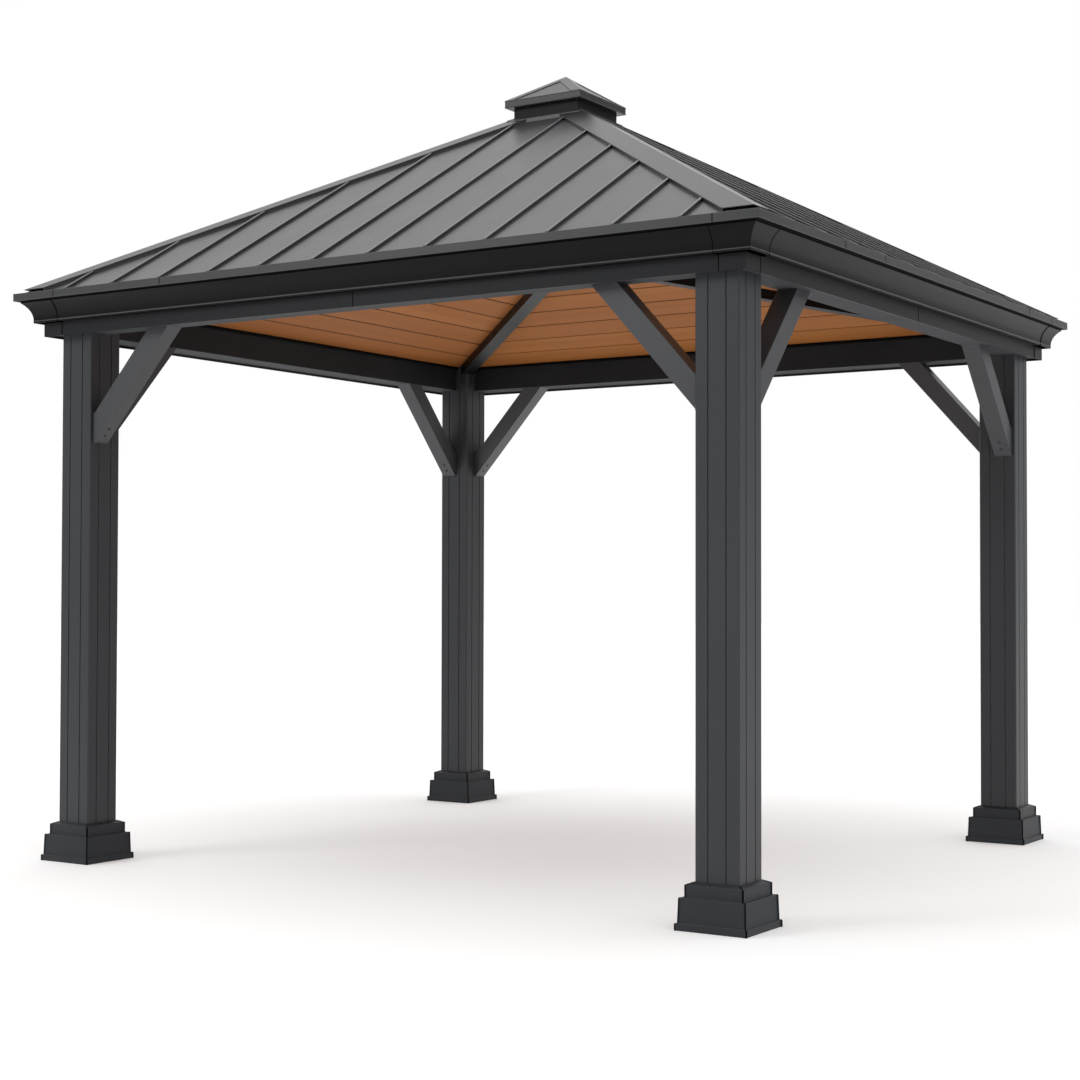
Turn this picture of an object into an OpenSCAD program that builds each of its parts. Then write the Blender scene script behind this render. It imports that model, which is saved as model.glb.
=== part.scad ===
// Square-post metal gazebo with a hipped standing-seam roof.
// Origin on the ground under the roof's peak, +X to the right, -Y at the front, +Z up, millimetres.

/* [Overall size] */
// Length of the eave line, left to right
eave_l = 3660; // [3000:10:4400]
// Width of the eave line, front to back
eave_w = 3370; // [2750:10:4100]
// Height of the eave trim's top edge above the ground
eave_h = 2501; // [2300:1:2900]
// Rise of the roof planes from the sheets' lower edges to where they would meet
roof_rise = 967; // [600:1:1250]

/* [Posts] */
// Side of the square post
post_w = 176; // [120:1:220]
// Distance from the eave line to the post's centre
eave_out = 240; // [200:1:300]
// Wall of the post's tube, measured at its flats
post_wall = 8; // [6:0.5:12]
// Chamfer on the post's upright corners
post_chamfer = 4; // [1:0.5:8]
// Width of a groove in the post
groove_w = 6; // [3:0.5:10]
// Depth of a groove in the post
groove_d = 4; // [2:0.5:5]
// Distance from the post face's middle to a groove
groove_off = 36; // [20:1:45]
// Thickness of the plate that closes the post's foot
foot_plate_t = 10; // [5:1:20]

/* [Post bases] */
// Height of the base's bottom flange
flange_h = 26; // [15:1:40]
// How far the flange stands out from the post
flange_out = 56; // [45:1:80]
// Height of the base's lower block
plinth_h = 90; // [60:1:130]
// How far the lower block stands out from the post at its bottom
plinth_out = 48; // [35:1:60]
// How far the lower block leans in towards its top
plinth_draft = 3; // [0:0.5:6]
// Height of the base's upper block
collar_h = 44; // [25:1:60]
// How far the upper block stands out from the post
collar_out = 29; // [15:1:35]
// Height of the bevel that closes the base onto the post
bevel_h = 10; // [5:1:30]
// Thickness left at the top of the bevel
bevel_lip = 4; // [2:0.5:8]

/* [Eave] */
// Height of the eave trim's upright face
trim_h = 32; // [20:1:50]
// Width of the eave trim's flanges
trim_flange = 40; // [30:1:60]
// How far the top flange, which carries the roof sheets, lies below the trim's top edge
trim_drop = 12; // [5:1:20]
// Sheet thickness of the eave trim
trim_t = 3; // [2:0.5:5]
// How far the cornice's top edge sits inside the eave line
cornice_in = 24; // [10:1:35]
// How far the foot of the cove sits inside the eave line
cove_in = 64; // [50:1:80]
// Height of the cornice, from its lip to the eave trim
cornice_h = 94; // [80:1:120]
// Radius of the cornice's hollow cove
cove_r = 95; // [85:1:120]
// Height of the lip under the cove
lip_h = 9; // [5:1:15]

/* [Beams] */
// Height of the flat frieze that shows under the cornice
frieze_h = 60; // [30:1:90]
// How far the frieze hangs below the beam's underside
frieze_lip = 12; // [5:1:25]
// How far the frieze sits inside the eave line
frieze_in = 97; // [85:1:120]
// Height of the beam box
beam_h = 165; // [150:1:200]
// Width of the beam box, from the frieze to the beam's inner face
beam_w = 153; // [130:1:170]
// Wall of the beam box
beam_wall = 4; // [3:0.5:8]

/* [Knee braces] */
// Side of the brace's square section
brace_s = 83; // [60:1:110]
// How far the brace's lowest corner lies below the beam
brace_drop = 482; // [300:1:650]
// How far the brace reaches out from the post along the beam
brace_reach = 445; // [300:1:550]
// Thickness of the plate at the foot of the brace
brace_plate_t = 8; // [4:1:15]
// How far that plate stands past the brace above and below
brace_plate_lap = 5; // [0:1:10]

/* [Ceiling] */
// Height of the beam's inner face that shows below the ceiling
beam_reveal = 130; // [100:1:150]
// Rise of the ceiling from the beams to its middle
ceiling_rise = 295; // [150:1:400]
// Upright thickness of the ceiling boards
ceiling_t = 12; // [8:1:25]
// Width of the hip rafter
rafter_w = 70; // [40:1:100]
// Depth of the hip rafter below the ceiling
rafter_d = 50; // [30:1:80]
// Side of the square hub where the hip rafters meet
hub_w = 170; // [120:1:240]
// Depth of the hub below the ceiling's middle
hub_d = 95; // [70:1:120]

/* [Roof] */
// Upright thickness of the roof sheets
sheet_t = 4; // [3:0.5:8]
// Distance from the eave line to the roof sheet's lower edge
sheet_in = 8; // [5:1:30]
// Distance between neighbouring standing seams
seam_pitch = 276; // [200:1:400]
// Least distance along the eave from a corner to the nearest seam
seam_margin = 240; // [180:5:300]
// Height of a seam above its sheet
seam_h = 12; // [8:1:30]
// Thickness of a seam
seam_w = 7; // [5:1:15]
// Width of the hip cap on each slope, square to the hip
cap_w = 84; // [60:1:120]
// Distance from the eave line to the hip cap's lower end
cap_in = 35; // [20:1:120]
// Sheet thickness of the hip caps
cap_t = 3; // [2:0.5:5]

/* [Roof vent] */
// Side of the vent's square box
vent_w = 346; // [280:2:420]
// Wall of the vent box
vent_wall = 12; // [6:1:30]
// Height of the vent box above the roof sheets at its left and right sides
vent_show = 60; // [40:1:120]
// How far the flashing reaches out from the vent box
skirt_out = 25; // [15:1:90]
// Side of the vent's square hood
hood_w = 408; // [360:2:500]
// Height of the hood's upright edge
hood_edge_h = 32; // [20:1:50]
// Rise of the hood from its edge to its peak
hood_rise = 130; // [80:1:180]

/* [Hidden] */

metal = "#3c3f43";
metal_light = "#55585c";
wood = "#b06f3c";

// Sides are numbered 0 front, 1 right, 2 back, 3 left. Each is built at the front and turned.
function side_half(k) = (k % 2 == 0 ? eave_l : eave_w) / 2;
function side_dist(k) = (k % 2 == 0 ? eave_w : eave_l) / 2;
function seam_count(k) = floor(2 * (side_half(k) - seam_margin) / seam_pitch) + 1;

post_half = post_w / 2;
cornice_bottom = eave_h - trim_h - cornice_h;
frieze_bottom = cornice_bottom - frieze_h;
beam_bottom = frieze_bottom + frieze_lip;
beam_face = frieze_in + beam_w;
cove_foot = cornice_bottom + lip_h;
ceiling_z = beam_bottom + beam_reveal;
hub_bottom = ceiling_z + ceiling_rise - hub_d;
brace_foot = beam_bottom - brace_drop;
cap_z = sheet_t + seam_h;
skirt_z = cap_z + cap_t;
seam_root = 1;
skirt_half = vent_w / 2 + skirt_out;
sheet_z = eave_h - trim_drop;
vent_foot = round(sheet_z + roof_rise * (1 - vent_w / (eave_l - 2 * sheet_in)));
vent_top = vent_foot + vent_show;
big = eave_l + eave_w;
groove_over = 1;

module turn_to(k) {
    rotate([0, 0, 90 * k]) children();
}

// A bar along side k: its profile's points are [distance inside the eave line, height].
module eave_bar(k, profile_reach) {
    intersection() {
        translate([-side_half(k), -side_dist(k), 0])
            rotate([90, 0, 90]) linear_extrude(2 * side_half(k)) children();
        mitre_prism(k, profile_reach);
    }
}

// Upright prism whose ends are cut at 45 degrees, so that bars meet at the corners.
module mitre_prism(k, reach) {
    h = side_half(k);
    d = side_dist(k);
    linear_extrude(eave_h) polygon([[-h, -d], [h, -d], [h - reach, reach - d], [reach - h, reach - d]]);
}

// Plan triangle between the two hips of side k, for planes that start inside the eave line.
module slope_wedge(k, inset) {
    h = side_half(k) - inset;
    d = side_dist(k) - inset;
    linear_extrude(2 * eave_h) polygon([[-h, -d], [h, -d], [0, 0]]);
}

// Sloping bar over side k, from x0 on, between low and high above the plane that rises from z0.
module slope_bar(k, x0, width, inset, z0, rise, low, high) {
    d = side_dist(k) - inset;
    translate([x0, 0, 0]) rotate([90, 0, 90]) linear_extrude(width)
        polygon([[-d, z0 + low], [0, z0 + rise + low], [0, z0 + rise + high], [-d, z0 + high]]);
}

module ceiling_layer(k, low, high) {
    slope_bar(k, -side_half(k), 2 * side_half(k), beam_face, ceiling_z, ceiling_rise, low, high);
}

module roof_layer(k, low, high) {
    slope_bar(k, -side_half(k), 2 * side_half(k), sheet_in, sheet_z, roof_rise, low, high);
}

// Block between two squares at different heights.
module frustum(half0, half1, z0, z1) {
    intersection() {
        frustum_prism(half0, half1, z0, z1);
        rotate([0, 0, 90]) frustum_prism(half0, half1, z0, z1);
    }
}

module frustum_prism(half0, half1, z0, z1) {
    reach = max(half0, half1);
    translate([0, reach, 0]) rotate([90, 0, 0]) linear_extrude(2 * reach)
        polygon([[-half0, z0], [half0, z0], [half1, z1], [-half1, z1]]);
}

// Square with cut corners and two grooves in each face.
module post_profile() {
    c = post_half - post_chamfer;
    difference() {
        polygon([
            [-c, -post_half], [c, -post_half], [post_half, -c], [post_half, c],
            [c, post_half], [-c, post_half], [-post_half, c], [-post_half, -c]
        ]);
        for (k = [0 : 3]) rotate(90 * k) for (s = [-1, 1])
            translate([s * groove_off - groove_w / 2, -post_half - groove_over])
                square([groove_w, groove_d + groove_over]);
    }
}

module post_at(sx, sy) {
    translate([sx * (eave_l / 2 - eave_out), sy * (eave_w / 2 - eave_out), 0]) children();
}

// The post's inner corner runs on between the two beams, up to the ceiling.
module post(sx, sy) {
    color(metal) difference() {
        post_at(sx, sy) difference() {
            linear_extrude(eave_h) post_profile();
            translate([-post_half + post_wall, -post_half + post_wall, foot_plate_t])
                cube([post_w - 2 * post_wall, post_w - 2 * post_wall, eave_h]);
        }
        for (k = [0 : 3]) turn_to(k) {
            beam_zone(k);
            ceiling_layer(k, 0, eave_h);
        }
    }
}

module beam_zone(k) {
    translate([-side_half(k), -side_dist(k), beam_bottom]) cube([2 * side_half(k), beam_face, eave_h]);
}

module base() {
    collar_z = flange_h + plinth_h;
    bevel_z = collar_z + collar_h;
    flange_half = post_half + flange_out;
    plinth_half = post_half + plinth_out;
    collar_half = post_half + collar_out;
    color(metal) difference() {
        union() {
            frustum(flange_half, flange_half, 0, flange_h);
            frustum(plinth_half, plinth_half - plinth_draft, flange_h, collar_z);
            frustum(collar_half, collar_half, collar_z, bevel_z);
            frustum(collar_half, post_half + bevel_lip, bevel_z, bevel_z + bevel_h);
        }
        translate([-post_half, -post_half, -1]) cube([post_w, post_w, bevel_z + bevel_h + 2]);
    }
}

// Box whose outer wall, the frieze, hangs a little below its underside.
module beam(k) {
    color(metal) turn_to(k) eave_bar(k, beam_face) {
        difference() {
            translate([frieze_in, beam_bottom]) square([beam_w, beam_h]);
            translate([frieze_in + beam_wall, beam_bottom + beam_wall])
                square([beam_w - 2 * beam_wall, beam_h - 2 * beam_wall]);
        }
        translate([frieze_in, frieze_bottom]) square([beam_wall, frieze_lip + beam_wall]);
    }
}

// Hollow cove above a small lip; the cove's circle is upright where it meets the lip.
module cornice(k) {
    color(metal) turn_to(k) eave_bar(k, frieze_in) difference() {
        polygon([
            [cornice_in, eave_h - trim_h], [frieze_in, eave_h - trim_h], [frieze_in, cornice_bottom],
            [cove_in, cornice_bottom], [cove_in, cove_foot], [cornice_in, cove_foot]
        ]);
        translate([cove_in - cove_r, cove_foot]) circle(cove_r, $fn = 96);
    }
}

// The flanges stand inside an upright face that hides the roof sheets' lower edges.
module eave_trim(k) {
    color(metal_light) turn_to(k) eave_bar(k, trim_flange) difference() {
        translate([0, eave_h - trim_h]) square([trim_flange, trim_h]);
        translate([trim_t, eave_h - trim_h + trim_t])
            square([trim_flange, trim_h - trim_drop - 2 * trim_t]);
        translate([trim_t, sheet_z]) square([trim_flange, 2 * trim_drop]);
    }
}

// One knee brace at the left end of a side, from the post's inner face, flush with the beam's.
module brace_in_place(k) {
    angle = atan2(brace_drop, brace_reach - brace_plate_t);
    foot_cut = brace_s / cos(angle);
    head_cut = brace_s / sin(angle);
    translate([-side_half(k) + eave_out + post_half, -side_dist(k) + beam_face, 0])
        rotate([90, 0, 0]) linear_extrude(brace_s) {
            polygon([
                [brace_plate_t, brace_foot], [brace_reach, beam_bottom],
                [brace_reach - head_cut, beam_bottom], [brace_plate_t, brace_foot + foot_cut]
            ]);
            translate([0, brace_foot - brace_plate_lap])
                square([brace_plate_t, foot_cut + 2 * brace_plate_lap]);
        }
}

// The two braces of the post at the left end of side k.
module braces(k) {
    before = (k + 3) % 4;
    color(metal) {
        turn_to(k) brace_in_place(k);
        turn_to(before) mirror([1, 0, 0]) brace_in_place(before);
    }
}

module ceiling(k) {
    color(wood) turn_to(k) intersection() {
        ceiling_layer(k, 0, ceiling_t);
        slope_wedge(k, beam_face);
    }
}

// Box along the hip under the ceiling, from the post's inner corner to the hub.
module hip_rafter(sx, sy) {
    hx = eave_l / 2 - beam_face;
    hy = eave_w / 2 - beam_face;
    run = norm([hx, hy]);
    pitch = atan2(ceiling_rise, run);
    color(metal) difference() {
        intersection() {
            translate([sx * hx, sy * hy, ceiling_z]) rotate([0, 0, atan2(-sy * hy, -sx * hx)])
                rotate([0, -pitch, 0]) translate([-run / 2, -rafter_w / 2, -rafter_d])
                cube([2 * run, rafter_w, 2 * rafter_d]);
            rafter_quarter(sx, sy, hx, hy);
        }
        for (k = [0 : 3]) turn_to(k) ceiling_layer(k, 0, rafter_d + beam_h);
        post_at(sx, sy) translate([-post_half, -post_half, 0]) cube([post_w, post_w, 2 * eave_h]);
        hub_block();
    }
}

module rafter_quarter(sx, sy, hx, hy) {
    linear_extrude(2 * eave_h) polygon([[0, 0], [sx * hx, 0], [sx * hx, sy * hy], [0, sy * hy]]);
}

module hub_block() {
    translate([-hub_w / 2, -hub_w / 2, hub_bottom]) cube([hub_w, hub_w, 2 * hub_d]);
}

module hub() {
    color(metal) difference() {
        hub_block();
        for (k = [0 : 3]) turn_to(k) ceiling_layer(k, 0, 3 * hub_d);
    }
}

// Plan strip on side k along the hip at its right end, width wide square to the hip.
module hip_strip(k, width) {
    hip = [side_half(k) - sheet_in, sheet_in - side_dist(k)];
    aside = width * [hip[1], -hip[0]] / norm(hip);
    linear_extrude(2 * eave_h) polygon([[0, 0], 2 * hip, 2 * hip + aside, aside]);
}

module skirt_zone(inset) {
    half = skirt_half - inset;
    translate([-half, -half, 0]) cube([2 * half, 2 * half, 2 * eave_h]);
}

// A slope's standing seams stop at the hip caps and at the vent's skirt.
module seams(k) {
    n = seam_count(k);
    difference() {
        intersection() {
            slope_wedge(k, sheet_in);
            for (i = [0 : n - 1])
                slope_bar(k, (i - (n - 1) / 2) * seam_pitch - seam_w / 2, seam_w,
                    sheet_in, sheet_z, roof_rise, sheet_t - seam_root, cap_z);
        }
        hip_strip(k, cap_w);
        mirror([1, 0, 0]) hip_strip(k, cap_w);
        skirt_zone(0);
    }
}

module roof(k) {
    color(metal_light) turn_to(k) {
        difference() {
            intersection() {
                roof_layer(k, 0, sheet_t);
                slope_wedge(k, sheet_in);
            }
            vent_hole(vent_wall);
        }
        seams(k);
    }
}

// Plan of a hip cap on side k: its lower end is parallel to the eave and meets the other half's.
module cap_zone(k) {
    d = side_dist(k) - sheet_in;
    end = d * (1 - (cap_in - sheet_in) / (eave_l / 2 - sheet_in));
    difference() {
        intersection() {
            hip_strip(k, cap_w);
            translate([-big / 2, -end, 0]) cube([big, big, 2 * eave_h]);
        }
        skirt_zone(0);
    }
}

// Half of a hip cap: a sheet level with the seams' tops, and a turned-down edge on the roof sheet.
module cap_half(k) {
    intersection() {
        roof_layer(k, cap_z, cap_z + cap_t);
        cap_zone(k);
    }
    difference() {
        intersection() {
            roof_layer(k, sheet_t, cap_z + cap_t);
            cap_zone(k);
        }
        hip_strip(k, cap_w - cap_t);
    }
}

module hip_cap(k) {
    next = (k + 1) % 4;
    color(metal_light) {
        turn_to(k) cap_half(k);
        turn_to(next) mirror([1, 0, 0]) cap_half(next);
    }
}

// Flashing over the upper ends of the seams and hip caps, around the vent box.
module skirt() {
    color(metal_light) difference() {
        for (k = [0 : 3]) turn_to(k) intersection() {
            roof_layer(k, sheet_t, skirt_z + cap_t);
            slope_wedge(k, sheet_in);
            skirt_zone(0);
        }
        for (k = [0 : 3]) turn_to(k) intersection() {
            roof_layer(k, 0, skirt_z);
            slope_wedge(k, sheet_in);
            skirt_zone(cap_t);
        }
        vent_hole(0);
    }
}

module vent_hole(inset) {
    half = vent_w / 2 - inset;
    translate([-half, -half, 0]) cube([2 * half, 2 * half, 2 * eave_h]);
}

// Square tube that stands on the roof sheets, around the hole in them.
module vent() {
    color(metal) difference() {
        translate([-vent_w / 2, -vent_w / 2, eave_h]) cube([vent_w, vent_w, vent_top - eave_h]);
        vent_hole(vent_wall);
        for (k = [0 : 3]) turn_to(k) intersection() {
            roof_layer(k, -roof_rise, sheet_t);
            slope_wedge(k, sheet_in);
        }
    }
}

module hood() {
    edge_top = vent_top + hood_edge_h;
    color(metal_light) {
        frustum(hood_w / 2, hood_w / 2, vent_top, edge_top);
        intersection() {
            hood_prism(edge_top);
            rotate([0, 0, 90]) hood_prism(edge_top);
        }
    }
}

module hood_prism(edge_top) {
    translate([0, hood_w / 2, 0]) rotate([90, 0, 0]) linear_extrude(hood_w)
        polygon([[-hood_w / 2, edge_top], [hood_w / 2, edge_top], [0, edge_top + hood_rise]]);
}

post(-1, -1);  // front_left_post
post(1, -1);  // front_right_post
post(1, 1);  // back_right_post
post(-1, 1);  // back_left_post
post_at(-1, -1) base();  // front_left_base
post_at(1, -1) base();  // front_right_base
post_at(1, 1) base();  // back_right_base
post_at(-1, 1) base();  // back_left_base
beam(0);  // front_beam
beam(1);  // right_beam
beam(2);  // back_beam
beam(3);  // left_beam
braces(0);  // front_left_braces
braces(1);  // front_right_braces
braces(2);  // back_right_braces
braces(3);  // back_left_braces
cornice(0);  // front_cornice
cornice(1);  // right_cornice
cornice(2);  // back_cornice
cornice(3);  // left_cornice
eave_trim(0);  // front_eave_trim
eave_trim(1);  // right_eave_trim
eave_trim(2);  // back_eave_trim
eave_trim(3);  // left_eave_trim
ceiling(0);  // front_ceiling
ceiling(1);  // right_ceiling
ceiling(2);  // back_ceiling
ceiling(3);  // left_ceiling
hip_rafter(-1, -1);  // front_left_rafter
hip_rafter(1, -1);  // front_right_rafter
hip_rafter(1, 1);  // back_right_rafter
hip_rafter(-1, 1);  // back_left_rafter
hub();  // rafter_hub
roof(0);  // front_roof
roof(1);  // right_roof
roof(2);  // back_roof
roof(3);  // left_roof
hip_cap(0);  // front_right_hip_cap
hip_cap(1);  // back_right_hip_cap
hip_cap(2);  // back_left_hip_cap
hip_cap(3);  // front_left_hip_cap
skirt();  // vent_skirt
vent();  // vent_box
hood();  // vent_hood
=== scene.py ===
import math

import bmesh
import bpy
import numpy as np
from mathutils import Matrix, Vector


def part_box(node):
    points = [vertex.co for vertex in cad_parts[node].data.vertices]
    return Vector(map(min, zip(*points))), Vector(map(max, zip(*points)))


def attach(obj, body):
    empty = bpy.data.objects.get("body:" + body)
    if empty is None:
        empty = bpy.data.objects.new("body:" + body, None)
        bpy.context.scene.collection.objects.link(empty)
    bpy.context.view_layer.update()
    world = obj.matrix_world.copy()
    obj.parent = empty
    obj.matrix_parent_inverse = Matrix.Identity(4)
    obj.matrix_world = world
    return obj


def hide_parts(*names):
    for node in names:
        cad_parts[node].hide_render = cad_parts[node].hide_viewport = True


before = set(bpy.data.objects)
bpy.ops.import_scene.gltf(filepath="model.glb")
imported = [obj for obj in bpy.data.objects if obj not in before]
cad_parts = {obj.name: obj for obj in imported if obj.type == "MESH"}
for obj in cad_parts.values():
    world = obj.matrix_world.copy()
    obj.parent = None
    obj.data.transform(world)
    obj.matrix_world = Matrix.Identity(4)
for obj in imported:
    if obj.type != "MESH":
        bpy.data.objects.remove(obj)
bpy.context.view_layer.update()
print("stage: frame loaded with", len(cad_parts), "nodes")

# Sides are numbered 0 front, 1 right, 2 back, 3 left: each is worked out at the front and turned.
sideNames = ["front", "right", "back", "left"]
cornerNames = ["front_left", "front_right", "back_right", "back_left"]
cornerSigns = np.array([(-1, -1), (1, -1), (1, 1), (-1, 1)], float)


def nodeBox(name):
    low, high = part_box(name)
    return np.array(low), np.array(high)


# Places that the frame gives.
trimLow, trimHigh = nodeBox("front_eave_trim")
eaveHalf = np.array([trimHigh[0], nodeBox("right_eave_trim")[1][1]])  # half length and half width of the eave
eaveTop = trimHigh[2]
trimBottom = trimLow[2]
postLow, postHigh = nodeBox("front_left_post")
postCentre = -(postLow[:2] + postHigh[:2]) / 2  # of the back right post
postHalf = (postHigh[0] - postLow[0]) / 2
beamLow, beamHigh = nodeBox("front_beam")
friezeBottom = beamLow[2]
braceLow, braceHigh = nodeBox("front_left_braces")
beamBottom = braceHigh[2]
friezeIn = eaveHalf[1] + beamLow[1]
beamFace = eaveHalf[1] + beamHigh[1]  # the beams' inner faces, inside the eave line
ceilingLow, ceilingHigh = nodeBox("front_ceiling")
corniceFoot = nodeBox("front_cornice")[0][2]


def turned(points, side):
    # Quarter turns about the upright axis: (x, y) becomes (-y, x) once for each side.
    points = np.asarray(points, float)
    for _ in range(side):
        points = np.stack([-points[..., 1], points[..., 0], points[..., 2]], -1)
    return points


def sideHalf(side):
    return eaveHalf[side % 2]  # half the side's own length


def sideDist(side):
    return eaveHalf[1 - side % 2]  # from the middle out to the side


class Soup:
    # Collects grids and end faces, and turns them into one mesh.
    def __init__(self):
        self.points, self.faces, self.uvs, self.tones, self.count = [], [], [], [], 0

    def grid(self, points, wrapRows=False, wrapCols=False, capEnds=False, uv=None, tone=0.0):
        # Neighbours in a rows by columns array of points become four-cornered faces.
        rows, cols = points.shape[:2]
        i = np.arange(rows if wrapRows else rows - 1)[:, None]
        j = np.arange(cols if wrapCols else cols - 1)[None, :]
        nextI, nextJ = (i + 1) % rows, (j + 1) % cols
        quads = np.stack([i * cols + j, nextI * cols + j, nextI * cols + nextJ, i * cols + nextJ], -1)
        self.faces += (quads.reshape(-1, 4) + self.count).tolist()
        if capEnds:
            self.faces.append((np.arange(cols) + self.count).tolist())
            self.faces.append((np.arange(cols)[::-1] + self.count + (rows - 1) * cols).tolist())
        flat = points.reshape(-1, 3)
        self.points.append(flat)
        self.uvs.append(np.zeros((len(flat), 2)) if uv is None else uv.reshape(-1, 2))
        self.tones.append(np.broadcast_to(tone, len(flat)))
        self.count += len(flat)

    def build(self, name, material, slot, sharpAngle=32, replaces=()):
        mesh = bpy.data.meshes.new(name)
        mesh.from_pydata(np.concatenate(self.points).tolist(), [], self.faces)
        work = bmesh.new()
        work.from_mesh(mesh)
        bmesh.ops.recalc_face_normals(work, faces=work.faces)
        work.to_mesh(mesh)
        work.free()
        mesh.polygons.foreach_set("use_smooth", np.ones(len(mesh.polygons), bool))
        mesh.set_sharp_from_angle(angle=math.radians(sharpAngle))
        corners = np.zeros(len(mesh.loops), int)
        mesh.loops.foreach_get("vertex_index", corners)
        mesh.uv_layers.new(name="length").data.foreach_set("uv", np.concatenate(self.uvs)[corners].ravel())
        mesh.attributes.new("tone", "FLOAT", "POINT").data.foreach_set("value", np.concatenate(self.tones))
        mesh.materials.append(material)
        piece = bpy.data.objects.new(name, mesh)
        bpy.context.scene.collection.objects.link(piece)
        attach(piece, "root")
        if replaces:
            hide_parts(*replaces)
        return piece


def circle(radius, sides=10):
    a = np.linspace(0, 2 * math.pi, sides, endpoint=False)
    return radius * np.stack([np.cos(a), np.sin(a)], -1)


def unit(vector):
    vector = np.asarray(vector, float)
    return vector / np.linalg.norm(vector, axis=-1, keepdims=True)


def roundedBox(half, radius, steps=3):
    # Corner arcs joined by straight sides: half sizes less the radius, plus radius times (cos, sin).
    angles = np.linspace(0, math.pi / 2, steps + 1)
    loop = []
    for quarter, (sx, sy) in enumerate([(1, 1), (-1, 1), (-1, -1), (1, -1)]):
        a = angles + quarter * math.pi / 2
        middle = np.array([sx * (half[0] - radius), sy * (half[1] - radius)])
        loop.append(middle + radius * np.stack([np.cos(a), np.sin(a)], -1))
    return np.concatenate(loop)


def bar(profile, start, end, across, up):
    # A closed outline carried along a straight line: start + u * across + w * up, and again at the end.
    offsets = profile[:, :1] * np.asarray(across, float) + profile[:, 1:] * np.asarray(up, float)
    return np.stack([np.asarray(start, float) + offsets, np.asarray(end, float) + offsets])


def aroundPlan(profile, half):
    # An outline of (distance inside the eave line, height), set at the four corners of a rectangle.
    x = cornerSigns[:, :1] * (half[0] - profile[None, :, 0])
    y = cornerSigns[:, 1:] * (half[1] - profile[None, :, 0])
    z = np.broadcast_to(profile[None, :, 1], x.shape)
    return np.stack([x, y, z], -1)


headForm = {"turn": 0.9, "crown": 0.6, "sink": 0.3}  # share of a quarter turn, power of its fall, share below


def domeHead(centre, normal, along, radius, height, sides=12, rings=4):
    # A screw's pan head: rings shrink as a power of cos(t) while they rise as sin(t), up to near a quarter turn.
    normal, along = unit(normal), unit(along)
    other = np.cross(normal, along)
    t = np.linspace(0, math.pi / 2 * headForm["turn"], rings)
    radii = np.concatenate([[radius], radius * np.cos(t) ** headForm["crown"]])
    rise = np.concatenate([[-height * headForm["sink"]], height * np.sin(t)])
    rim = circle(1.0, sides)
    ring = rim[:, :1] * along + rim[:, 1:] * other
    return np.asarray(centre, float) + radii[:, None, None] * ring + rise[:, None, None] * normal


class Wire:
    # A socket that takes part in sums: each operator adds a Math node to the socket's own tree.
    def __init__(self, socket):
        self.socket = socket

    def maths(self, operation, first, second):
        tree = self.socket.id_data
        made = tree.nodes.new("ShaderNodeMath")
        made.operation = operation
        for target, value in zip(made.inputs, (first, second)):
            plug(tree, target, value)
        return Wire(made.outputs[0])

    def __add__(self, other):
        return self.maths("ADD", self, other)

    def __sub__(self, other):
        return self.maths("SUBTRACT", self, other)

    def __rsub__(self, other):
        return self.maths("SUBTRACT", other, self)

    def __mul__(self, other):
        return self.maths("MULTIPLY", self, other)

    __radd__ = __add__
    __rmul__ = __mul__


def plug(tree, target, value):
    if isinstance(value, Wire):
        tree.links.new(value.socket, target)
    else:
        target.default_value = value


class Finish:
    # A node tree and the one way to add a node to it: its type, its settings, then its sockets.
    def __init__(self, tree):
        self.tree = tree
        tree.nodes.clear()

    def node(self, kind, settings=None, sockets=None, out=0):
        made = self.tree.nodes.new("ShaderNode" + kind)
        for key, value in (settings or {}).items():
            if key == "stops":
                ramp = made.color_ramp
                for _ in range(len(value) - 2):
                    ramp.elements.new(0.5)
                for element, (place, grey) in zip(ramp.elements, value):
                    element.position = place
                    element.color = (grey, grey, grey, 1)
            else:
                setattr(made, key, value)
        for key, value in (sockets or {}).items():
            plug(self.tree, made.inputs[key], value)
        return Wire(made.outputs[out])

    def noise(self, scale, vector, detail=2, rough=0.5):
        return self.node("TexNoise", None, {"Vector": vector, "Scale": scale, "Detail": detail, "Roughness": rough})

    def blend(self, factor, first, second):
        return self.node("Mix", {"data_type": "RGBA"}, {0: factor, 6: first, 7: second}, out=2)

    def ramp(self, value, band, settings=None):
        # From 0 at the band's first number to 1 at its second.
        return self.node("MapRange", settings, {"Value": value, "From Min": band[0], "From Max": band[1]})

    def stretch(self, vector, scale):
        return self.node("Mapping", None, {"Vector": vector, "Scale": scale})

    def finish(self, surface, kind):
        made = self.tree.nodes.new("ShaderNodeOutput" + kind)
        self.tree.links.new(surface.socket, made.inputs["Surface"])


def newMaterial(name):
    material = bpy.data.materials.new(name)
    material.use_nodes = True
    return material, Finish(material.node_tree)


def linear(r, g, b):
    # Display values from 0 to 255 turned to linear light by the power 2.2.
    return tuple((v / 255) ** 2.2 for v in (r, g, b)) + (1.0,)


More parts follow.
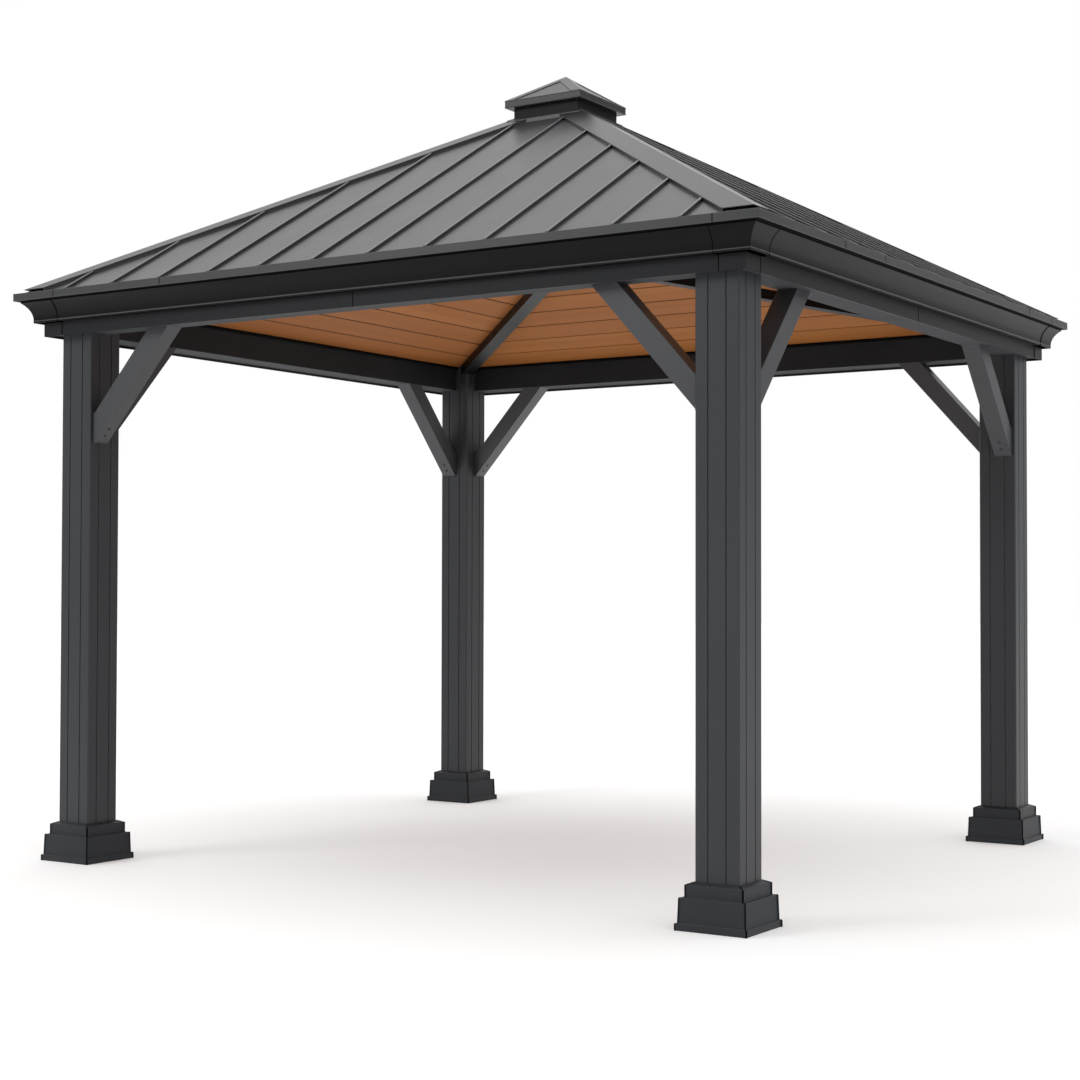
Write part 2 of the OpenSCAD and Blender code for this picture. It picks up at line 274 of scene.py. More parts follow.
def paintedMetal(name, look):
    # Baked powder coat: a faint orange peel, long shallow waves, slow drifts of tone, and a painted highlight along
    # the edges.
    material, f = newMaterial(name)
    place = f.node("TexCoord", out="Object")
    peel = f.noise(look["peelScale"], place, detail=2)
    drift = f.noise(look["driftScale"], f.stretch(place, look["driftStretch"]), detail=3, rough=0.55)
    highlightBreakup = f.noise(look["highlightBreakupScale"], place, detail=4, rough=0.6)
    # Painted highlight: where the bevelled normal turns away from the face's own normal, the colour goes lighter,
    # by an amount that noise varies.
    rounded = f.node("Bevel", {"samples": 4}, {"Radius": look["edge"]}, out="Normal")
    flat = f.node("NewGeometry", out="Normal")
    facing = f.node("VectorMath", {"operation": "DOT_PRODUCT"}, {0: rounded, 1: flat}, out="Value")
    edgeHighlightMask = f.ramp(facing, look["edgeHighlightBand"])
    tone = f.node("ValToRGB", {"stops": look["toneStops"]}, {"Fac": drift})
    colour = f.blend(tone, linear(*look["dark"]), linear(*look["light"]))
    withEdgeHighlight = f.blend(edgeHighlightMask * (look["edgeHighlightLeast"] + highlightBreakup * look["edgeHighlightVaries"]), colour, linear(*look["edgeHighlight"]))
    rough = look["rough"] + (drift - 0.5) * look["roughDrift"] + (peel - 0.5) * look["roughPeel"]
    wavy = f.noise(look["waveScale"], f.stretch(place, look["waveStretch"]), detail=1)
    swell = f.node("Bump", None, {"Strength": look["wave"], "Distance": look["waveDepth"], "Height": wavy,
                                "Normal": rounded})
    bump = f.node("Bump", None, {"Strength": look["bump"], "Distance": look["peelDepth"], "Height": peel,
                               "Normal": swell})
    paint = f.node("BsdfPrincipled", None, {
        "Base Color": withEdgeHighlight, "Roughness": rough, "Normal": bump, "IOR": look["ior"],
        "Specular IOR Level": look["specular"]})
    f.finish(paint, "Material")
    return material


def stainedBoards(name, look):
    # Grain runs along each board: fine fibres and slow bands, from noise drawn out lengthways.
    # The tone attribute is a board's depth of stain from 0 to 1; past 1 it marks the groove walls between boards,
    # which are painted dark as shade.
    material, f = newMaterial(name)
    length = f.node("UVMap", {"uv_map": "length"})
    board = f.node("Attribute", {"attribute_name": "tone"}, out="Fac")
    level = f.ramp(board, (0.0, 1.0))
    # Painted shade: a tone past 1 turns the colour to dark brown on the groove walls between boards.
    groove = f.ramp(board, (1.0, 2.0))
    fibre = f.noise(1.0, f.stretch(length, look["fibre"]), detail=5, rough=0.65)
    band = f.noise(1.0, f.stretch(length, look["band"]), detail=3, rough=0.5)
    streak = f.node("ValToRGB", {"stops": look["streakStops"]}, {"Fac": fibre})
    tone = f.node("ValToRGB", {"stops": look["toneStops"]}, {"Fac": band})
    colour = f.blend(tone, linear(*look["dark"]), linear(*look["light"]))
    colour = f.blend(streak * look["streakShare"], colour, linear(*look["streak"]))
    colour = f.blend(level * look["deepShare"], colour, linear(*look["deep"]))
    colour = f.blend(groove, colour, linear(*look["groove"]))
    rough = look["rough"] + fibre * look["roughFibre"]
    bump = f.node("Bump", None, {"Strength": look["bump"], "Distance": look["fibreDepth"], "Height": fibre})
    wood = f.node("BsdfPrincipled", None, {"Base Color": colour, "Roughness": rough, "Normal": bump,
                                         "Specular IOR Level": look["specular"]})
    f.finish(wood, "Material")
    return material


# The lighter edge colour in each finish below is a painted highlight along the edges.
charcoal = {
    "dark": (44, 46, 49), "light": (53, 55, 59), "toneStops": [(0.3, 0.0), (0.72, 1.0)], "edge": 0.002,
    "edgeHighlight": (100, 102, 106), "edgeHighlightBand": (0.995, 0.9), "edgeHighlightLeast": 0.25, "edgeHighlightVaries": 0.5, "highlightBreakupScale": 9.0,
    "driftScale": 1.6, "driftStretch": (1.0, 1.0, 0.35), "bump": 0.10, "peelScale": 420.0, "peelDepth": 0.0006,
    "wave": 0.06, "waveScale": 3.2, "waveStretch": (1.0, 1.0, 0.6), "waveDepth": 0.012, "rough": 0.42,
    "roughDrift": 0.10, "roughPeel": 0.06, "ior": 1.45, "specular": 0.5}
postPaint = paintedMetal("postPaint", charcoal)
beamPaint = paintedMetal("beamPaint", {**charcoal, "dark": (31, 32, 34), "light": (38, 39, 41), "specular": 0.2,
                                       "edgeHighlight": (76, 77, 80)})
soffitPaint = paintedMetal("soffitPaint", {**charcoal, "dark": (66, 67, 69), "light": (78, 79, 81), "specular": 0.1,
                                           "rough": 0.8})
bracePaint = paintedMetal("bracePaint", {**charcoal, "dark": (62, 63, 66), "light": (70, 71, 74), "rough": 0.36})
eavePaint = paintedMetal("eavePaint", {**charcoal, "dark": (13, 13, 14), "light": (19, 19, 20), "specular": 0.15,
                                       "rough": 0.38, "driftStretch": (0.4, 0.4, 1.0), "edgeHighlight": (66, 67, 69)})
trimPaint = paintedMetal("trimPaint", {**charcoal, "dark": (50, 51, 52), "light": (58, 59, 60), "rough": 0.40})
basePaint = paintedMetal("basePaint", {**charcoal, "dark": (46, 48, 51), "light": (54, 56, 59), "edge": 0.003,
                                       "specular": 0.25, "edgeHighlight": (118, 120, 124)})
sheetPaint = paintedMetal("sheetPaint", {**charcoal, "dark": (50, 50, 52), "light": (64, 64, 66), "rough": 0.30,
                                         "driftScale": 1.1, "driftStretch": (1.0, 1.0, 1.0), "bump": 0.06,
                                         "wave": 0.5})
flashingPaint = paintedMetal("flashingPaint", {**charcoal, "dark": (50, 50, 52), "light": (59, 59, 61),
                                               "rough": 0.30, "bump": 0.06})
hoodPaint = paintedMetal("hoodPaint", {**charcoal, "dark": (48, 48, 50), "light": (56, 56, 58), "rough": 0.32,
                                       "specular": 0.4})
# Paler than the sheets: a painted highlight along the seams' tops.
seamHighlightPaint = paintedMetal("seamHighlightPaint", {**charcoal, "dark": (92, 92, 94), "light": (108, 108, 110), "rough": 0.28})
innerPaint = paintedMetal("innerPaint", {**charcoal, "dark": (13, 13, 14), "light": (19, 19, 20), "specular": 0.2,
                                         "edgeHighlight": (48, 48, 50)})
# Near-black, for the dark joint lines, the ledge under the boards, and painted shade in the eave's recess.
jointAndShadePaint = paintedMetal("jointAndShadePaint", {**charcoal, "dark": (5, 5, 5), "light": (8, 8, 8),
                                           "edgeHighlight": (14, 14, 14), "rough": 0.7, "specular": 0.1})
screwPaint = paintedMetal("screwPaint", {**charcoal, "dark": (40, 41, 43), "light": (50, 51, 53), "rough": 0.3,
                                         "edge": 0.0005, "peelScale": 900.0})
boardStain = stainedBoards("boardStain", {
    "fibre": (2.2, 160.0, 1.0), "band": (0.7, 14.0, 1.0), "dark": (140, 86, 42), "light": (162, 103, 53),
    "toneStops": [(0.2, 0.0), (0.8, 1.0)], "streak": (112, 64, 28), "streakStops": [(0.5, 0.0), (0.78, 1.0)],
    "streakShare": 0.4, "deep": (128, 76, 35), "deepShare": 0.6, "groove": (34, 18, 9), "rough": 0.6,
    "roughFibre": 0.18, "bump": 0.25, "fibreDepth": 0.0006, "specular": 0.2})

nodeFinish = {
    "_post": postPaint, "_base": basePaint, "_beam": beamPaint, "_braces": bracePaint, "_cornice": eavePaint,
    "_eave_trim": trimPaint, "_ceiling": boardStain, "_rafter": innerPaint, "_roof": sheetPaint,
    "_hip_cap": flashingPaint, "rafter_hub": innerPaint, "vent_skirt": flashingPaint, "vent_box": innerPaint,
    "vent_hood": hoodPaint}
for nodeName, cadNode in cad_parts.items():
    finish = next(m for ending, m in nodeFinish.items() if nodeName.endswith(ending))
    cadNode.data.materials.clear()
    cadNode.data.materials.append(finish)
print("stage: finishes set on the frame")

boards = {"pitch": 0.190, "gap": 0.004, "chamfer": 0.0045, "grooveDepth": 0.008, "thick": 0.012, "toneSpread": 0.8,
          "hipGap": 0.002, "lastGap": 0.001, "grainShift": 40, "rowShift": 3.1, "grooveTone": 3.0, "seed": 5}


def boardSection(low, high):
    # Across one board: (distance in from the beam, height above the ceiling's underside), with a groove each side.
    g, c, d, t = boards["gap"] / 2, boards["chamfer"], boards["grooveDepth"], boards["thick"]
    return np.array([
        (low + g + c, 0), (high - g - c, 0), (high - g, c), (high - g, d), (high, d), (high, t), (low, t), (low, d),
        (low + g, d), (low + g, c)])


def ceilingBoards(side, draw):
    # Each board is its section run between the two hips, whose length shrinks evenly towards the middle.
    reach = sideDist(side) - beamFace
    halfLength = sideHalf(side) - beamFace
    zLow = ceilingLow[2]
    slope = (ceilingHigh[2] - boards["thick"] - zLow) / reach
    count = math.ceil(reach / boards["pitch"])
    soup = Soup()
    for i in range(count):
        low, high = i * boards["pitch"], min((i + 1) * boards["pitch"], reach - boards["lastGap"])
        section = boardSection(low, high)
        inward = section[:, 0]
        x = halfLength * (1 - inward / reach) - boards["hipGap"]
        y = inward - reach
        z = zLow + slope * inward + section[:, 1]
        ring = np.stack([np.stack([sign * x, y, z], -1) for sign in (-1, 1)])
        shift, level = draw.uniform(0, boards["grainShift"]), draw.uniform(0, boards["toneSpread"])
        uv = np.stack([ring[..., 0] + shift, np.broadcast_to(inward + boards["rowShift"] * i, ring.shape[:2])], -1)
        # Every point but the board's face gets the groove tone, painted dark as shade in the gaps between boards.
        tones = np.full(ring.shape[:2], boards["grooveTone"])
        tones[:, :2] = level
        soup.grid(turned(ring, side), wrapCols=True, capEnds=True, uv=uv, tone=tones.ravel())
    name = sideNames[side] + "_ceiling"
    return soup.build(name + "_boards", boardStain, "ceiling_boards", replaces=[name])


draw = np.random.default_rng(boards["seed"])
for side in range(4):
    ceilingBoards(side, draw)

ledge = {"wide": 0.016, "drop": 0.013, "radius": 0.0015}


def ceilingLedge():
    # A small square rail under the boards' outer edges, carried round the four beams.
    outline = roundedBox((ledge["wide"] / 2, ledge["drop"] / 2), ledge["radius"], 2)
    outline = outline + (beamFace + ledge["wide"] / 2, ceilingLow[2] - ledge["drop"] / 2)
    soup = Soup()
    soup.grid(aroundPlan(outline, eaveHalf), wrapRows=True, wrapCols=True)
    return soup.build("ceiling_ledge", jointAndShadePaint, "frame_metal")


ceilingLedge()
print("stage: ceiling boards laid")

roofing = {"sheet": 0.004, "seamTop": 0.016, "seamPitch": 0.276, "seamMargin": 0.240, "capWide": 0.084,
           "capTop": 0.019, "capStart": 0.035}
roofLow, roofHigh = nodeBox("front_roof")
sheetDist = np.array([nodeBox("right_roof")[1][0], -roofLow[1]])  # to the sheets' lower edges
roofRise = (roofHigh[2] - roofing["sheet"] - roofLow[2]) / (1 + roofHigh[1] / sheetDist[1])
skirtHalf = nodeBox("vent_skirt")[1][0]
seamHead = {"half": (0.0055, 0.0030), "radius": 0.0022, "sink": 0.0018, "endGap": 0.001}


def slopeSpans(side):
    # Half the slope's own lower edge, and the distance from the middle out to that edge.
    return sheetDist[side % 2], sheetDist[1 - side % 2]


def planeHeight(side, inward):
    # Height of the roof plane at a distance in from the sheet's lower edge.
    return roofLow[2] + roofRise * inward / slopeSpans(side)[1]


def slopeNormal(side):
    rise = roofRise / slopeSpans(side)[1]
    return np.array([0, -rise, 1]) / math.hypot(1, rise)


def hipEdge(side, y):
    # Along the hip cap's edge on a slope, |x| where the plan distance to the hip is the cap's width.
    own, out = slopeSpans(side)
    return (-y * own - roofing["capWide"] * math.hypot(own, out)) / out


def seamEnd(side, x):
    # The seam at x stops at the hip cap's edge, or at the skirt where it runs up to the vent.
    own, out = slopeSpans(side)
    atCap = -(roofing["capWide"] * math.hypot(own, out) + abs(x) * out) / own
    return min(atCap, -skirtHalf) if abs(x) < skirtHalf else atCap


def seamHeads(side):
    # The folded lock on top of each standing seam: a small rounded bar up the slope, to the cap or the skirt,
    # painted paler than the sheets as a painted highlight.
    soup = Soup()
    outline = roundedBox(seamHead["half"], seamHead["radius"], 3)
    out = slopeSpans(side)[1]
    count = math.floor(2 * (sideHalf(side) - roofing["seamMargin"]) / roofing["seamPitch"]) + 1
    up = slopeNormal(side)
    for i in range(count):
        x = (i - (count - 1) / 2) * roofing["seamPitch"]
        ends = [np.array([x, y, planeHeight(side, out + y) + roofing["seamTop"] - seamHead["sink"]])
                for y in (seamHead["endGap"] - out, seamEnd(side, x) - seamHead["endGap"])]
        soup.grid(turned(bar(outline, *ends, (1, 0, 0), up), side), wrapCols=True, capEnds=True)
    return soup.build(sideNames[side] + "_seam_heads", seamHighlightPaint, "roof_sheet")


capHem = {"radius": 0.0026, "sink": 0.0012}


def capHems(corner):
    # A rolled hem down both edges of a hip cap, from the skirt to the cap's lower end.
    outline = circle(capHem["radius"])
    soup = Soup()
    for side, mirror in ((corner - 1) % 4, 1), (corner, -1):
        out = slopeSpans(side)[1]
        share = (roofing["capStart"] - (eaveHalf[0] - sheetDist[0])) / sheetDist[0]
        ends = []
        for y in (-out * (1 - share), -skirtHalf):
            z = planeHeight(side, out + y) + roofing["capTop"] - capHem["sink"]
            ends.append(np.array([mirror * hipEdge(side, y), y, z]))
        up = slopeNormal(side)
        across = np.cross(unit(ends[1] - ends[0]), up)
        soup.grid(turned(bar(outline, *ends, across, up), side), wrapCols=True, capEnds=True)
    return soup.build(cornerNames[corner] + "_cap_hems", flashingPaint, "roof_flashing")


for side in range(4):
    seamHeads(side)
    capHems(side)

hood = {"strip": 0.034, "stripThick": 0.003, "spread": 1.42, "hem": 0.0035, "hemIn": 0.6, "hemDrop": 0.001,
        "cornerSlack": 0.001}
hoodLow, hoodHigh = nodeBox("vent_hood")
hoodHalf = hoodHigh[0]
boxHalf = nodeBox("vent_box")[1][0]


def hoodEdgeTop():
    # The pyramid's lowest level is the height at which its corners still stand out full width.
    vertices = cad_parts["vent_hood"].data.vertices
    points = np.empty(len(vertices) * 3)
    vertices.foreach_get("co", points)
    points = points.reshape(-1, 3)
    return points[points[:, 0] > hoodHalf - hood["cornerSlack"]][:, 2].max()


def hoodStrips():
    # A folded strip down each hip of the vent's hood: two thin flats that meet on the hip.
    edgeTop = hoodEdgeTop()
    slope = (hoodHigh[2] - edgeTop) / hoodHalf
    reach = hood["strip"] * hood["spread"]  # the strip's width measured along the eave
    soup = Soup()
    for side in range(4):
        for mirror in (1, -1):
            corner = np.array([mirror * hoodHalf, -hoodHalf, edgeTop])
            inner = np.array([mirror * (hoodHalf - reach), -hoodHalf, edgeTop])
            peak = np.array([0, 0, hoodHigh[2]])
            near = np.array([0, -reach, hoodHigh[2] - slope * reach])
            lift = np.array([0, -slope, 1]) / math.hypot(1, slope) * hood["stripThick"]
            flat = np.array([corner, inner, near, peak])
            soup.grid(turned(np.stack([flat, flat + lift]), side), wrapCols=True, capEnds=True)
    # Rolled hems round the bottom and the top of the upright edge.
    ring = circle(hood["hem"])
    for z in (hoodLow[2] + hood["hem"], edgeTop - hood["hemDrop"]):
        loop = aroundPlan(ring + (hood["hem"] * hood["hemIn"], z), np.array([hoodHalf, hoodHalf]))
        soup.grid(loop, wrapRows=True, wrapCols=True)
    return soup.build("hood_strips", flashingPaint, "roof_flashing", sharpAngle=28)


hoodStrips()

collar = {"radius": 0.0025, "rim": 0.0028, "rimSink": 0.002, "skirtThick": 0.003}


def aroundVent(half, lift):
    # A square round the vent that follows the roof: it bends at its corners and where it crosses the hips.
    lean = sheetDist[0] / sheetDist[1]
    plan = []
    for sx, sy in cornerSigns:
        crossing = (half, half / lean) if lean > 1 else (half * lean, half)
        stops = [(sx * half, sy * half), (sx * crossing[0], sy * crossing[1])]
        plan += stops if (sx * sy > 0) == (lean > 1) else stops[::-1]
    plan = np.array(plan)
    height = roofLow[2] + roofRise * np.min(1 - np.abs(plan) / sheetDist, axis=1) + lift
    return np.column_stack([plan, height])


def closedTube(path, radius):
    # A ring of points round each bend of a closed path, square to the line between its neighbours.
    tangent = unit(np.roll(path, -1, axis=0) - np.roll(path, 1, axis=0))
    across = unit(np.cross(tangent, (0, 0, 1)))
    up = np.cross(across, tangent)
    ring = circle(radius)
    return path[:, None] + ring[:, :1] * across[:, None] + ring[:, 1:] * up[:, None]


def ventCollar():
    # A sealing strip where the vent box meets its skirt, and a rolled rim round the skirt's lower edge.
    skirtTop = roofing["capTop"] + collar["skirtThick"]
    soup = Soup()
    soup.grid(closedTube(aroundVent(boxHalf, skirtTop), collar["radius"]), wrapRows=True, wrapCols=True)
    soup.grid(closedTube(aroundVent(skirtHalf, skirtTop - collar["rimSink"]), collar["rim"]), wrapRows=True,
              wrapCols=True)
    return soup.build("vent_collar", flashingPaint, "roof_flashing")


ventCollar()
print("stage: roof details made")

eave = {"beadRadius": 0.0035, "beadIn": 0.001, "hemRadius": 0.0022, "hemIn": 0.0015, "coveRadius": 0.095,
        "coveIn": 0.064, "corniceIn": 0.024, "lip": 0.009, "sleeve": 0.21, "friezeSleeve": 0.205, "proud": 0.0014,
        "coverDepth": 0.004, "jointWide": 0.0035, "jointProud": 0.0022, "trimProud": 0.0006, "jointDepth": 0.005,
        "shadeStripThick": 0.0012, "shadeStripIn": 0.004, "soffit": 0.0008, "soffitStart": 0.0045, "soffitStop": 0.001}
trimJoints = {0: (-1.58, -0.95, 1.65), 1: (-0.96, -0.58, 1.12, 1.45)}  # places along the front and the right side
coveFoot = corniceFoot + eave["lip"]
coveTurn = math.acos((eave["corniceIn"] - eave["coveIn"] + eave["coveRadius"]) / eave["coveRadius"])


def eaveBeads():
    # Rolled edges carried round the plan: the trim's top and bottom, and the foot of the cove.
    hem, bead = eave["hemIn"], eave["beadIn"]
    soup = Soup()
    for inset, z, radius in (
            (hem, eaveTop - hem, eave["hemRadius"]), (hem, trimBottom + hem, eave["hemRadius"]),
            (eave["coveIn"] + bead, coveFoot - bead, eave["beadRadius"])):
        soup.grid(aroundPlan(circle(radius) + (inset, z), eaveHalf), wrapRows=True, wrapCols=True)
    return soup.build("eave_beads", trimPaint, "eave_metal")


def coveLine(lift):
    # The cornice's face from the frieze to the trim, moved out by lift: the lip, then the hollow quarter arc.
    r = eave["coveRadius"] - lift
    a = np.linspace(0, coveTurn, 14)
    arc = np.stack([eave["coveIn"] - eave["coveRadius"] + r * np.cos(a), coveFoot + r * np.sin(a)], -1)
    lip = np.array([(friezeIn, corniceFoot - lift), (eave["coveIn"] - lift, corniceFoot - lift)])
    return np.concatenate([lip, arc, [(arc[-1, 0], trimBottom - eave["shadeStripThick"])]])


def faceSleeve(soup, line, depth, side, start, stop, mitre):
    # A thin cover over a face between two places along the side. A mitred one ends on the corner's diagonal
    # and is made again at the side's other end.
    back = line[::-1] + (depth, 0)
    outline = np.concatenate([line, back])
    inset = outline[:, 0]
    half = sideHalf(side)
    rows = []
    for place in (start, stop):
        x = half - inset if (mitre and place == stop) else np.full(len(inset), place)
        rows.append(np.stack([x, inset - sideDist(side), outline[:, 1]], -1))
    rows = np.stack(rows)
    soup.grid(turned(rows, side), wrapCols=True, capEnds=True)
    if mitre:
        soup.grid(turned(rows * (-1, 1, 1), side), wrapCols=True, capEnds=True)


def cornerCovers():
    # Covers over the cornice and the frieze at each corner, mitred, with their free ends square.
    soup, friezeSoup = Soup(), Soup()
    frieze = np.array([(friezeIn - eave["proud"], friezeBottom), (friezeIn - eave["proud"], corniceFoot)])
    for side in range(4):
        half = sideHalf(side)
        faceSleeve(soup, coveLine(eave["proud"]), eave["coverDepth"], side, half - eave["sleeve"], half, True)
        faceSleeve(friezeSoup, frieze, eave["coverDepth"], side, half - eave["friezeSleeve"], half, True)
    friezeSoup.build("frieze_covers", beamPaint, "frame_metal", sharpAngle=24)
    return soup.build("cornice_covers", eavePaint, "eave_metal", sharpAngle=24)


def soffitStrips():
    # A thin matte strip under the beams, from behind the frieze to the beams' inner faces.
    start, stop = friezeIn + eave["soffitStart"], beamFace - eave["soffitStop"]
    under = beamBottom - eave["soffit"]
    outline = np.array([(start, beamBottom), (start, under), (stop, under), (stop, beamBottom)])
    soup = Soup()
    soup.grid(aroundPlan(outline, eaveHalf), wrapRows=True, wrapCols=True)
    return soup.build("soffit_strips", soffitPaint, "frame_metal", sharpAngle=24)


def jointLines():
    # Dark gaps at the free ends of the corner covers, and at the trim's and the frieze's own joints.
    soup = Soup()
    halfWide = eave["jointWide"] / 2
    frieze = np.array([(friezeIn - eave["jointProud"], friezeBottom), (friezeIn - eave["jointProud"], corniceFoot)])
    trim = np.array([(-eave["trimProud"], trimBottom), (-eave["trimProud"], eaveTop)])
    for side in range(4):
        half = sideHalf(side)
        spots = [(coveLine(eave["jointProud"]), sign * (half - eave["sleeve"])) for sign in (-1, 1)]
        spots += [(frieze, sign * (half - eave["friezeSleeve"])) for sign in (-1, 1)]
        spots += [(trim, place) for place in trimJoints[side % 2]] + [(frieze + (eave["proud"], 0), 0.0)]
        for line, place in spots:
            faceSleeve(soup, line, eave["jointDepth"], side, place - halfWide, place + halfWide, False)
    return soup.build("joint_lines", jointAndShadePaint, "eave_metal")


def eaveShadeStrip():
    # Painted shade in the recess between the trim and the cornice: a near-black strip under the trim, then down the
    # cornice's upright top.
    foot = coveFoot + eave["coveRadius"] * math.sin(coveTurn)
    t = eave["shadeStripThick"]
    start, inner = eave["shadeStripIn"], eave["corniceIn"]
    outline = np.array([
        (start, trimBottom), (start, trimBottom - t), (inner - t, trimBottom - t), (inner - t, foot + t),
        (inner + t, foot + t), (inner + t, trimBottom)])
    soup = Soup()
    soup.grid(aroundPlan(outline, eaveHalf), wrapRows=True, wrapCols=True)
    return soup.build("eave_shade_strip", jointAndShadePaint, "eave_metal", sharpAngle=24)


eaveBeads()
cornerCovers()
soffitStrips()
jointLines()
eaveShadeStrip()
print("stage: eave details made")

base = {"flange": (0.056, 0.026), "plinth": (0.048, 0.045, 0.116), "collar": (0.029, 0.160), "lip": (0.004, 0.170),
        "round": 0.0022, "notch": 0.0045}


def softened(outline, radius, steps=3):
    # Each bend of an open outline becomes a short arc: a quadratic curve between points a radius away from it.
    result = [outline[:1]]
    for before, point, after in zip(outline[:-2], outline[1:-1], outline[2:]):
        a = point + unit(before - point) * radius
        b = point + unit(after - point) * radius
        t = np.linspace(0, 1, steps + 1)[:, None]
        result.append((1 - t) ** 2 * a + 2 * t * (1 - t) * point + t ** 2 * b)
    result.append(outline[-1:])
    return np.concatenate(result)


def baseCover(corner):
    # The stepped outline goes round the post; each plan corner is a small notch where two pressed faces meet.
    steps = np.array([
        (0.0, 0.0), (base["flange"][0], 0.0), base["flange"],
        (base["plinth"][0], base["flange"][1]), base["plinth"][1:], (base["collar"][0], base["plinth"][2]),
        base["collar"], base["lip"], (0.0, base["lip"][1])])
    outline = softened(steps, base["round"])
    n = base["notch"]
    spots = [(n, 0), (n, n), (0, n)]
    reach = postHalf + outline[:, 0]
    rows = []
    for sx, sy in cornerSigns:
        for dx, dy in spots if sx * sy > 0 else spots[::-1]:
            rows.append(np.stack([sx * (reach - dx), sy * (reach - dy), outline[:, 1]], -1))
    middle = np.append(cornerSigns[corner] * postCentre, 0)
    soup = Soup()
    soup.grid(np.stack(rows) + middle, wrapRows=True)
    name = cornerNames[corner] + "_base"
    return soup.build(name + "_cover", basePaint, "base_cover", sharpAngle=40, replaces=[name])


for corner in range(4):
    baseCover(corner)
print("stage: bases made")

screws = {"radius": 0.0065, "height": 0.0035, "steps": (0.035, 0.075)}  # steps: up the brace from its foot
bolts = {"radius": 0.010, "height": 0.006, "sides": 6, "rings": 3, "rises": (0.035, 0.10), "out": 0.045}
brace = {"side": 0.083, "reach": 0.445, "plate": 0.008, "plateLap": 0.005}


def fasteners():
    # Two screws near the foot of each brace and bolts on the posts' inner corners, placed from the frame.
    soup = Soup()
    drop = beamBottom - braceLow[2] - brace["plateLap"]
    angle = math.atan2(drop, brace["reach"] - brace["plate"])
    under = np.array([math.sin(angle), 0, -math.cos(angle)])
    climb = np.array([math.cos(angle), 0, math.sin(angle)])
    for side in range(4):
        half, dist = sideHalf(side), sideDist(side)
        postFace = half - (eaveHalf[0] - postCentre[0]) - postHalf
        middleY = beamFace - dist - brace["side"] / 2
        foot = np.array([-postFace + brace["plate"], middleY, beamBottom - drop])
        for mirror in (1, -1):
            flip = np.array([mirror, 1, 1])
            for step in screws["steps"]:
                spot = foot + climb * step
                head = domeHead(spot, under, climb, screws["radius"], screws["height"])
                soup.grid(turned(head * flip, side), wrapCols=True)
            for rise in bolts["rises"]:
                spot = np.array([-postFace, beamFace - dist + bolts["out"], beamBottom + rise])
                head = domeHead(spot, (1, 0, 0), (0, 0, 1), bolts["radius"], bolts["height"], bolts["sides"],
                                bolts["rings"])
                soup.grid(turned(head * flip, side), wrapCols=True)
    return soup.build("fasteners", screwPaint, "frame_metal", sharpAngle=35)


fasteners()

hubPlate = {"half": 0.062, "thick": 0.006, "radius": 0.006, "chamfer": 0.002, "bolt": 0.040, "boltRadius": 0.009}


def hubCover():
    # A thin square plate with rounded corners under the hub, held by four bolts.
    high = nodeBox("rafter_hub")[0][2]
    low, chamfer = high - hubPlate["thick"], hubPlate["chamfer"]
    outline, inner = (roundedBox((half, half), hubPlate["radius"], 4)
                      for half in (hubPlate["half"], hubPlate["half"] - chamfer))
    rings = [np.insert(loop, 2, z, axis=1) for loop, z in (
        (outline, high), (outline, low + chamfer), (inner, low))]
    soup = Soup()
    soup.grid(np.stack(rings), wrapCols=True, capEnds=True)
    for sx, sy in cornerSigns:
        spot = (sx * hubPlate["bolt"], sy * hubPlate["bolt"], low)
        soup.grid(domeHead(spot, (0, 0, -1), (1, 0, 0), hubPlate["boltRadius"], bolts["height"], bolts["sides"],
                           bolts["rings"]), wrapCols=True)
    return soup.build("hub_plate", beamPaint, "frame_metal")


hubCover()
print("stage: fasteners made")

studio = {"floorRadius": 60.0, "floorGrey": 0.93, "floorMottle": 0.02, "floorDark": 0.97, "floorGlow": 0.16,
          "zenith": 1.5, "zenithBand": (0.55, 0.85), "backdrop": 1.0, "backdropBand": (0.5, 0.82), "room": 0.42,
          "turn": 32.76}


def studioWorld():
    # Pale to the eye; for the light, bright overhead and behind, and dimmer on the camera's side.
    world = bpy.data.worlds.new("studio")
    bpy.context.scene.world = world
    world.use_nodes = True
    f = Finish(world.node_tree)
    ray = f.node("TexCoord", out="Generated")
    turn = math.radians(studio["turn"])
    ahead = f.node("VectorMath", {"operation": "DOT_PRODUCT"},
                   {0: ray, 1: (-math.sin(turn), math.cos(turn), 0.0)}, out="Value")
    height = f.node("SeparateXYZ", None, {"Vector": ray}, out="Z")
    behind = f.ramp(ahead, studio["backdropBand"], {"interpolation_type": "SMOOTHSTEP"})
    above = f.ramp(height, studio["zenithBand"], {"interpolation_type": "SMOOTHSTEP"})
    level = studio["room"] + behind * (studio["backdrop"] - studio["room"])
    level = level + above * (studio["zenith"] - level)
    seen = f.node("LightPath", out="Is Camera Ray")
    strength = level + seen * (1.0 - level)
    f.finish(f.node("Background", None, {"Color": (1, 1, 1, 1), "Strength": strength}), "World")


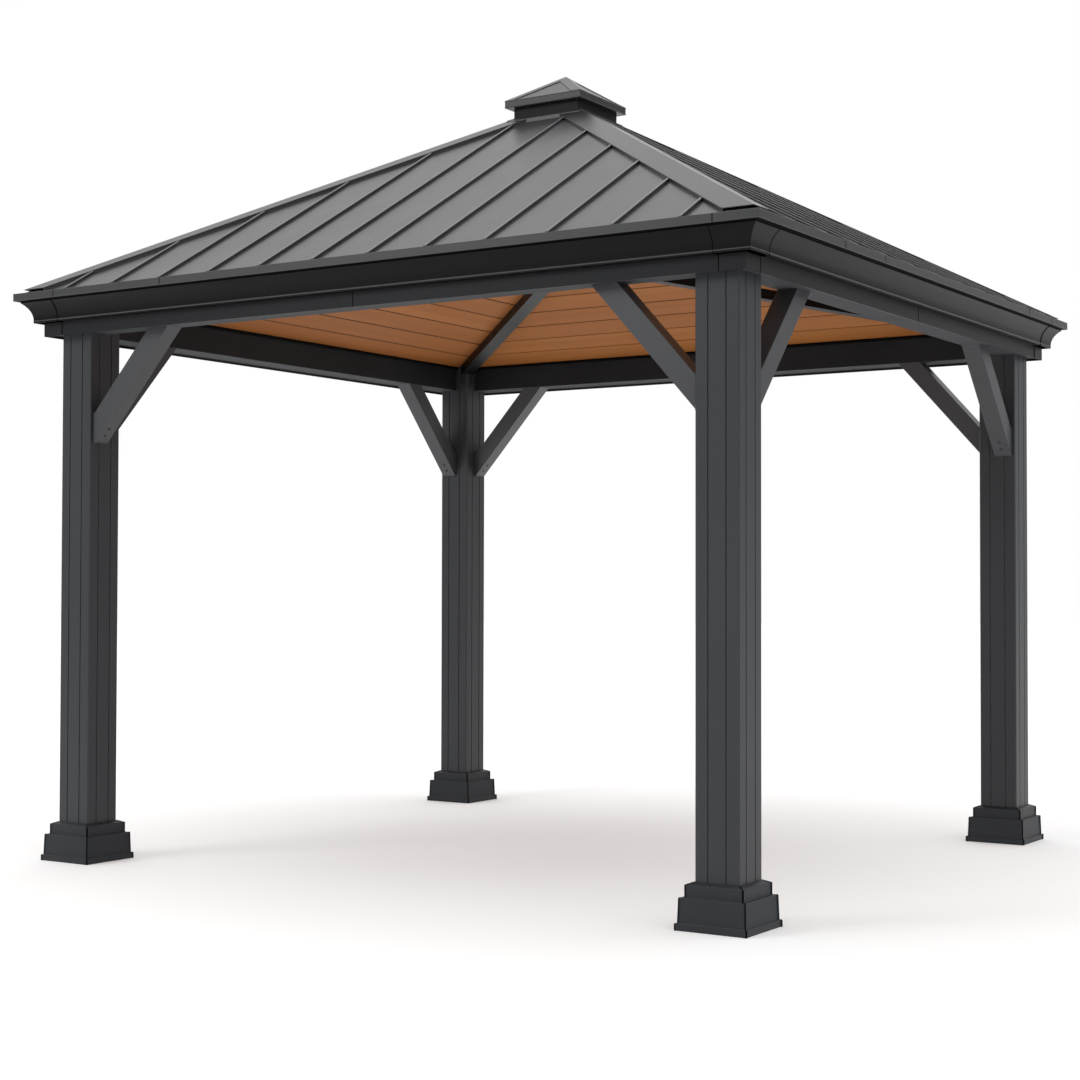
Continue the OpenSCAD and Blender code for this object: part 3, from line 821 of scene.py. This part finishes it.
def studioFloor():
    mesh = bpy.data.meshes.new("floor")
    rim = np.insert(circle(studio["floorRadius"], 64), 2, 0.0, axis=1)
    mesh.from_pydata(rim.tolist(), [], [list(range(len(rim)))])
    floor = bpy.data.objects.new("floor", mesh)
    bpy.context.scene.collection.objects.link(floor)
    material, f = newMaterial("paleFloor")
    grey, darker = studio["floorGrey"], studio["floorGrey"] * studio["floorDark"]
    place = f.node("TexCoord", out="Object")
    cloud = f.noise(0.7, place)
    colour = f.blend(cloud * studio["floorMottle"], (grey, grey, grey, 1), (darker, darker, darker, 1))
    f.finish(f.node("BsdfPrincipled", None, {
        "Base Color": colour, "Roughness": 1.0, "Specular IOR Level": 0.0, "Emission Color": (1, 1, 1, 1),
        "Emission Strength": studio["floorGlow"]}), "Material")
    mesh.materials.append(material)


def softLamp(name, place, target, size, power):
    # A square area light turned so that it shines at the target.
    lamp = bpy.data.lights.new(name, "AREA")
    lamp.shape, lamp.size, lamp.energy = "SQUARE", size, power
    holder = bpy.data.objects.new(name, lamp)
    aim = np.array(target) - np.array(place)
    yaw = math.atan2(-aim[0], aim[1])
    pitch = math.atan2(aim[2], math.hypot(aim[0], aim[1]))
    holder.matrix_world = (Matrix.Translation(place) @ Matrix.Rotation(yaw, 4, "Z")
                           @ Matrix.Rotation(math.pi / 2 + pitch, 4, "X"))
    bpy.context.scene.collection.objects.link(holder)


lamps = {
    "frontLamp": {"place": (-5.0, -9.0, 6.0), "target": (0, 0, 1.2), "size": 4.0, "power": 200},
    "sideLamp": {"place": (9.0, -3.0, 5.0), "target": (0, 0, 1.5), "size": 4.0, "power": 18}}

lens = {"place": (4.742, -7.5837, 1.2033), "turn": 32.757, "raise": 1.438, "roll": 0.126, "focal": 64.33,
        "sensor": 36.0, "reach": 500}


def studioCamera():
    data = bpy.data.cameras.new("camera")
    data.lens, data.sensor_width = lens["focal"], lens["sensor"]
    data.clip_end = lens["reach"]
    camera = bpy.data.objects.new("camera", data)
    camera.matrix_world = (
        Matrix.Translation(lens["place"]) @ Matrix.Rotation(math.radians(lens["turn"]), 4, "Z")
        @ Matrix.Rotation(math.radians(90 + lens["raise"]), 4, "X")
        @ Matrix.Rotation(math.radians(lens["roll"]), 4, "Z"))
    bpy.context.scene.collection.objects.link(camera)
    bpy.context.scene.camera = camera


bpy.context.scene.view_settings.view_transform = "Standard"
studioWorld()
studioFloor()
for lampName, settings in lamps.items():
    softLamp(lampName, **settings)
studioCamera()
print("stage: studio set")
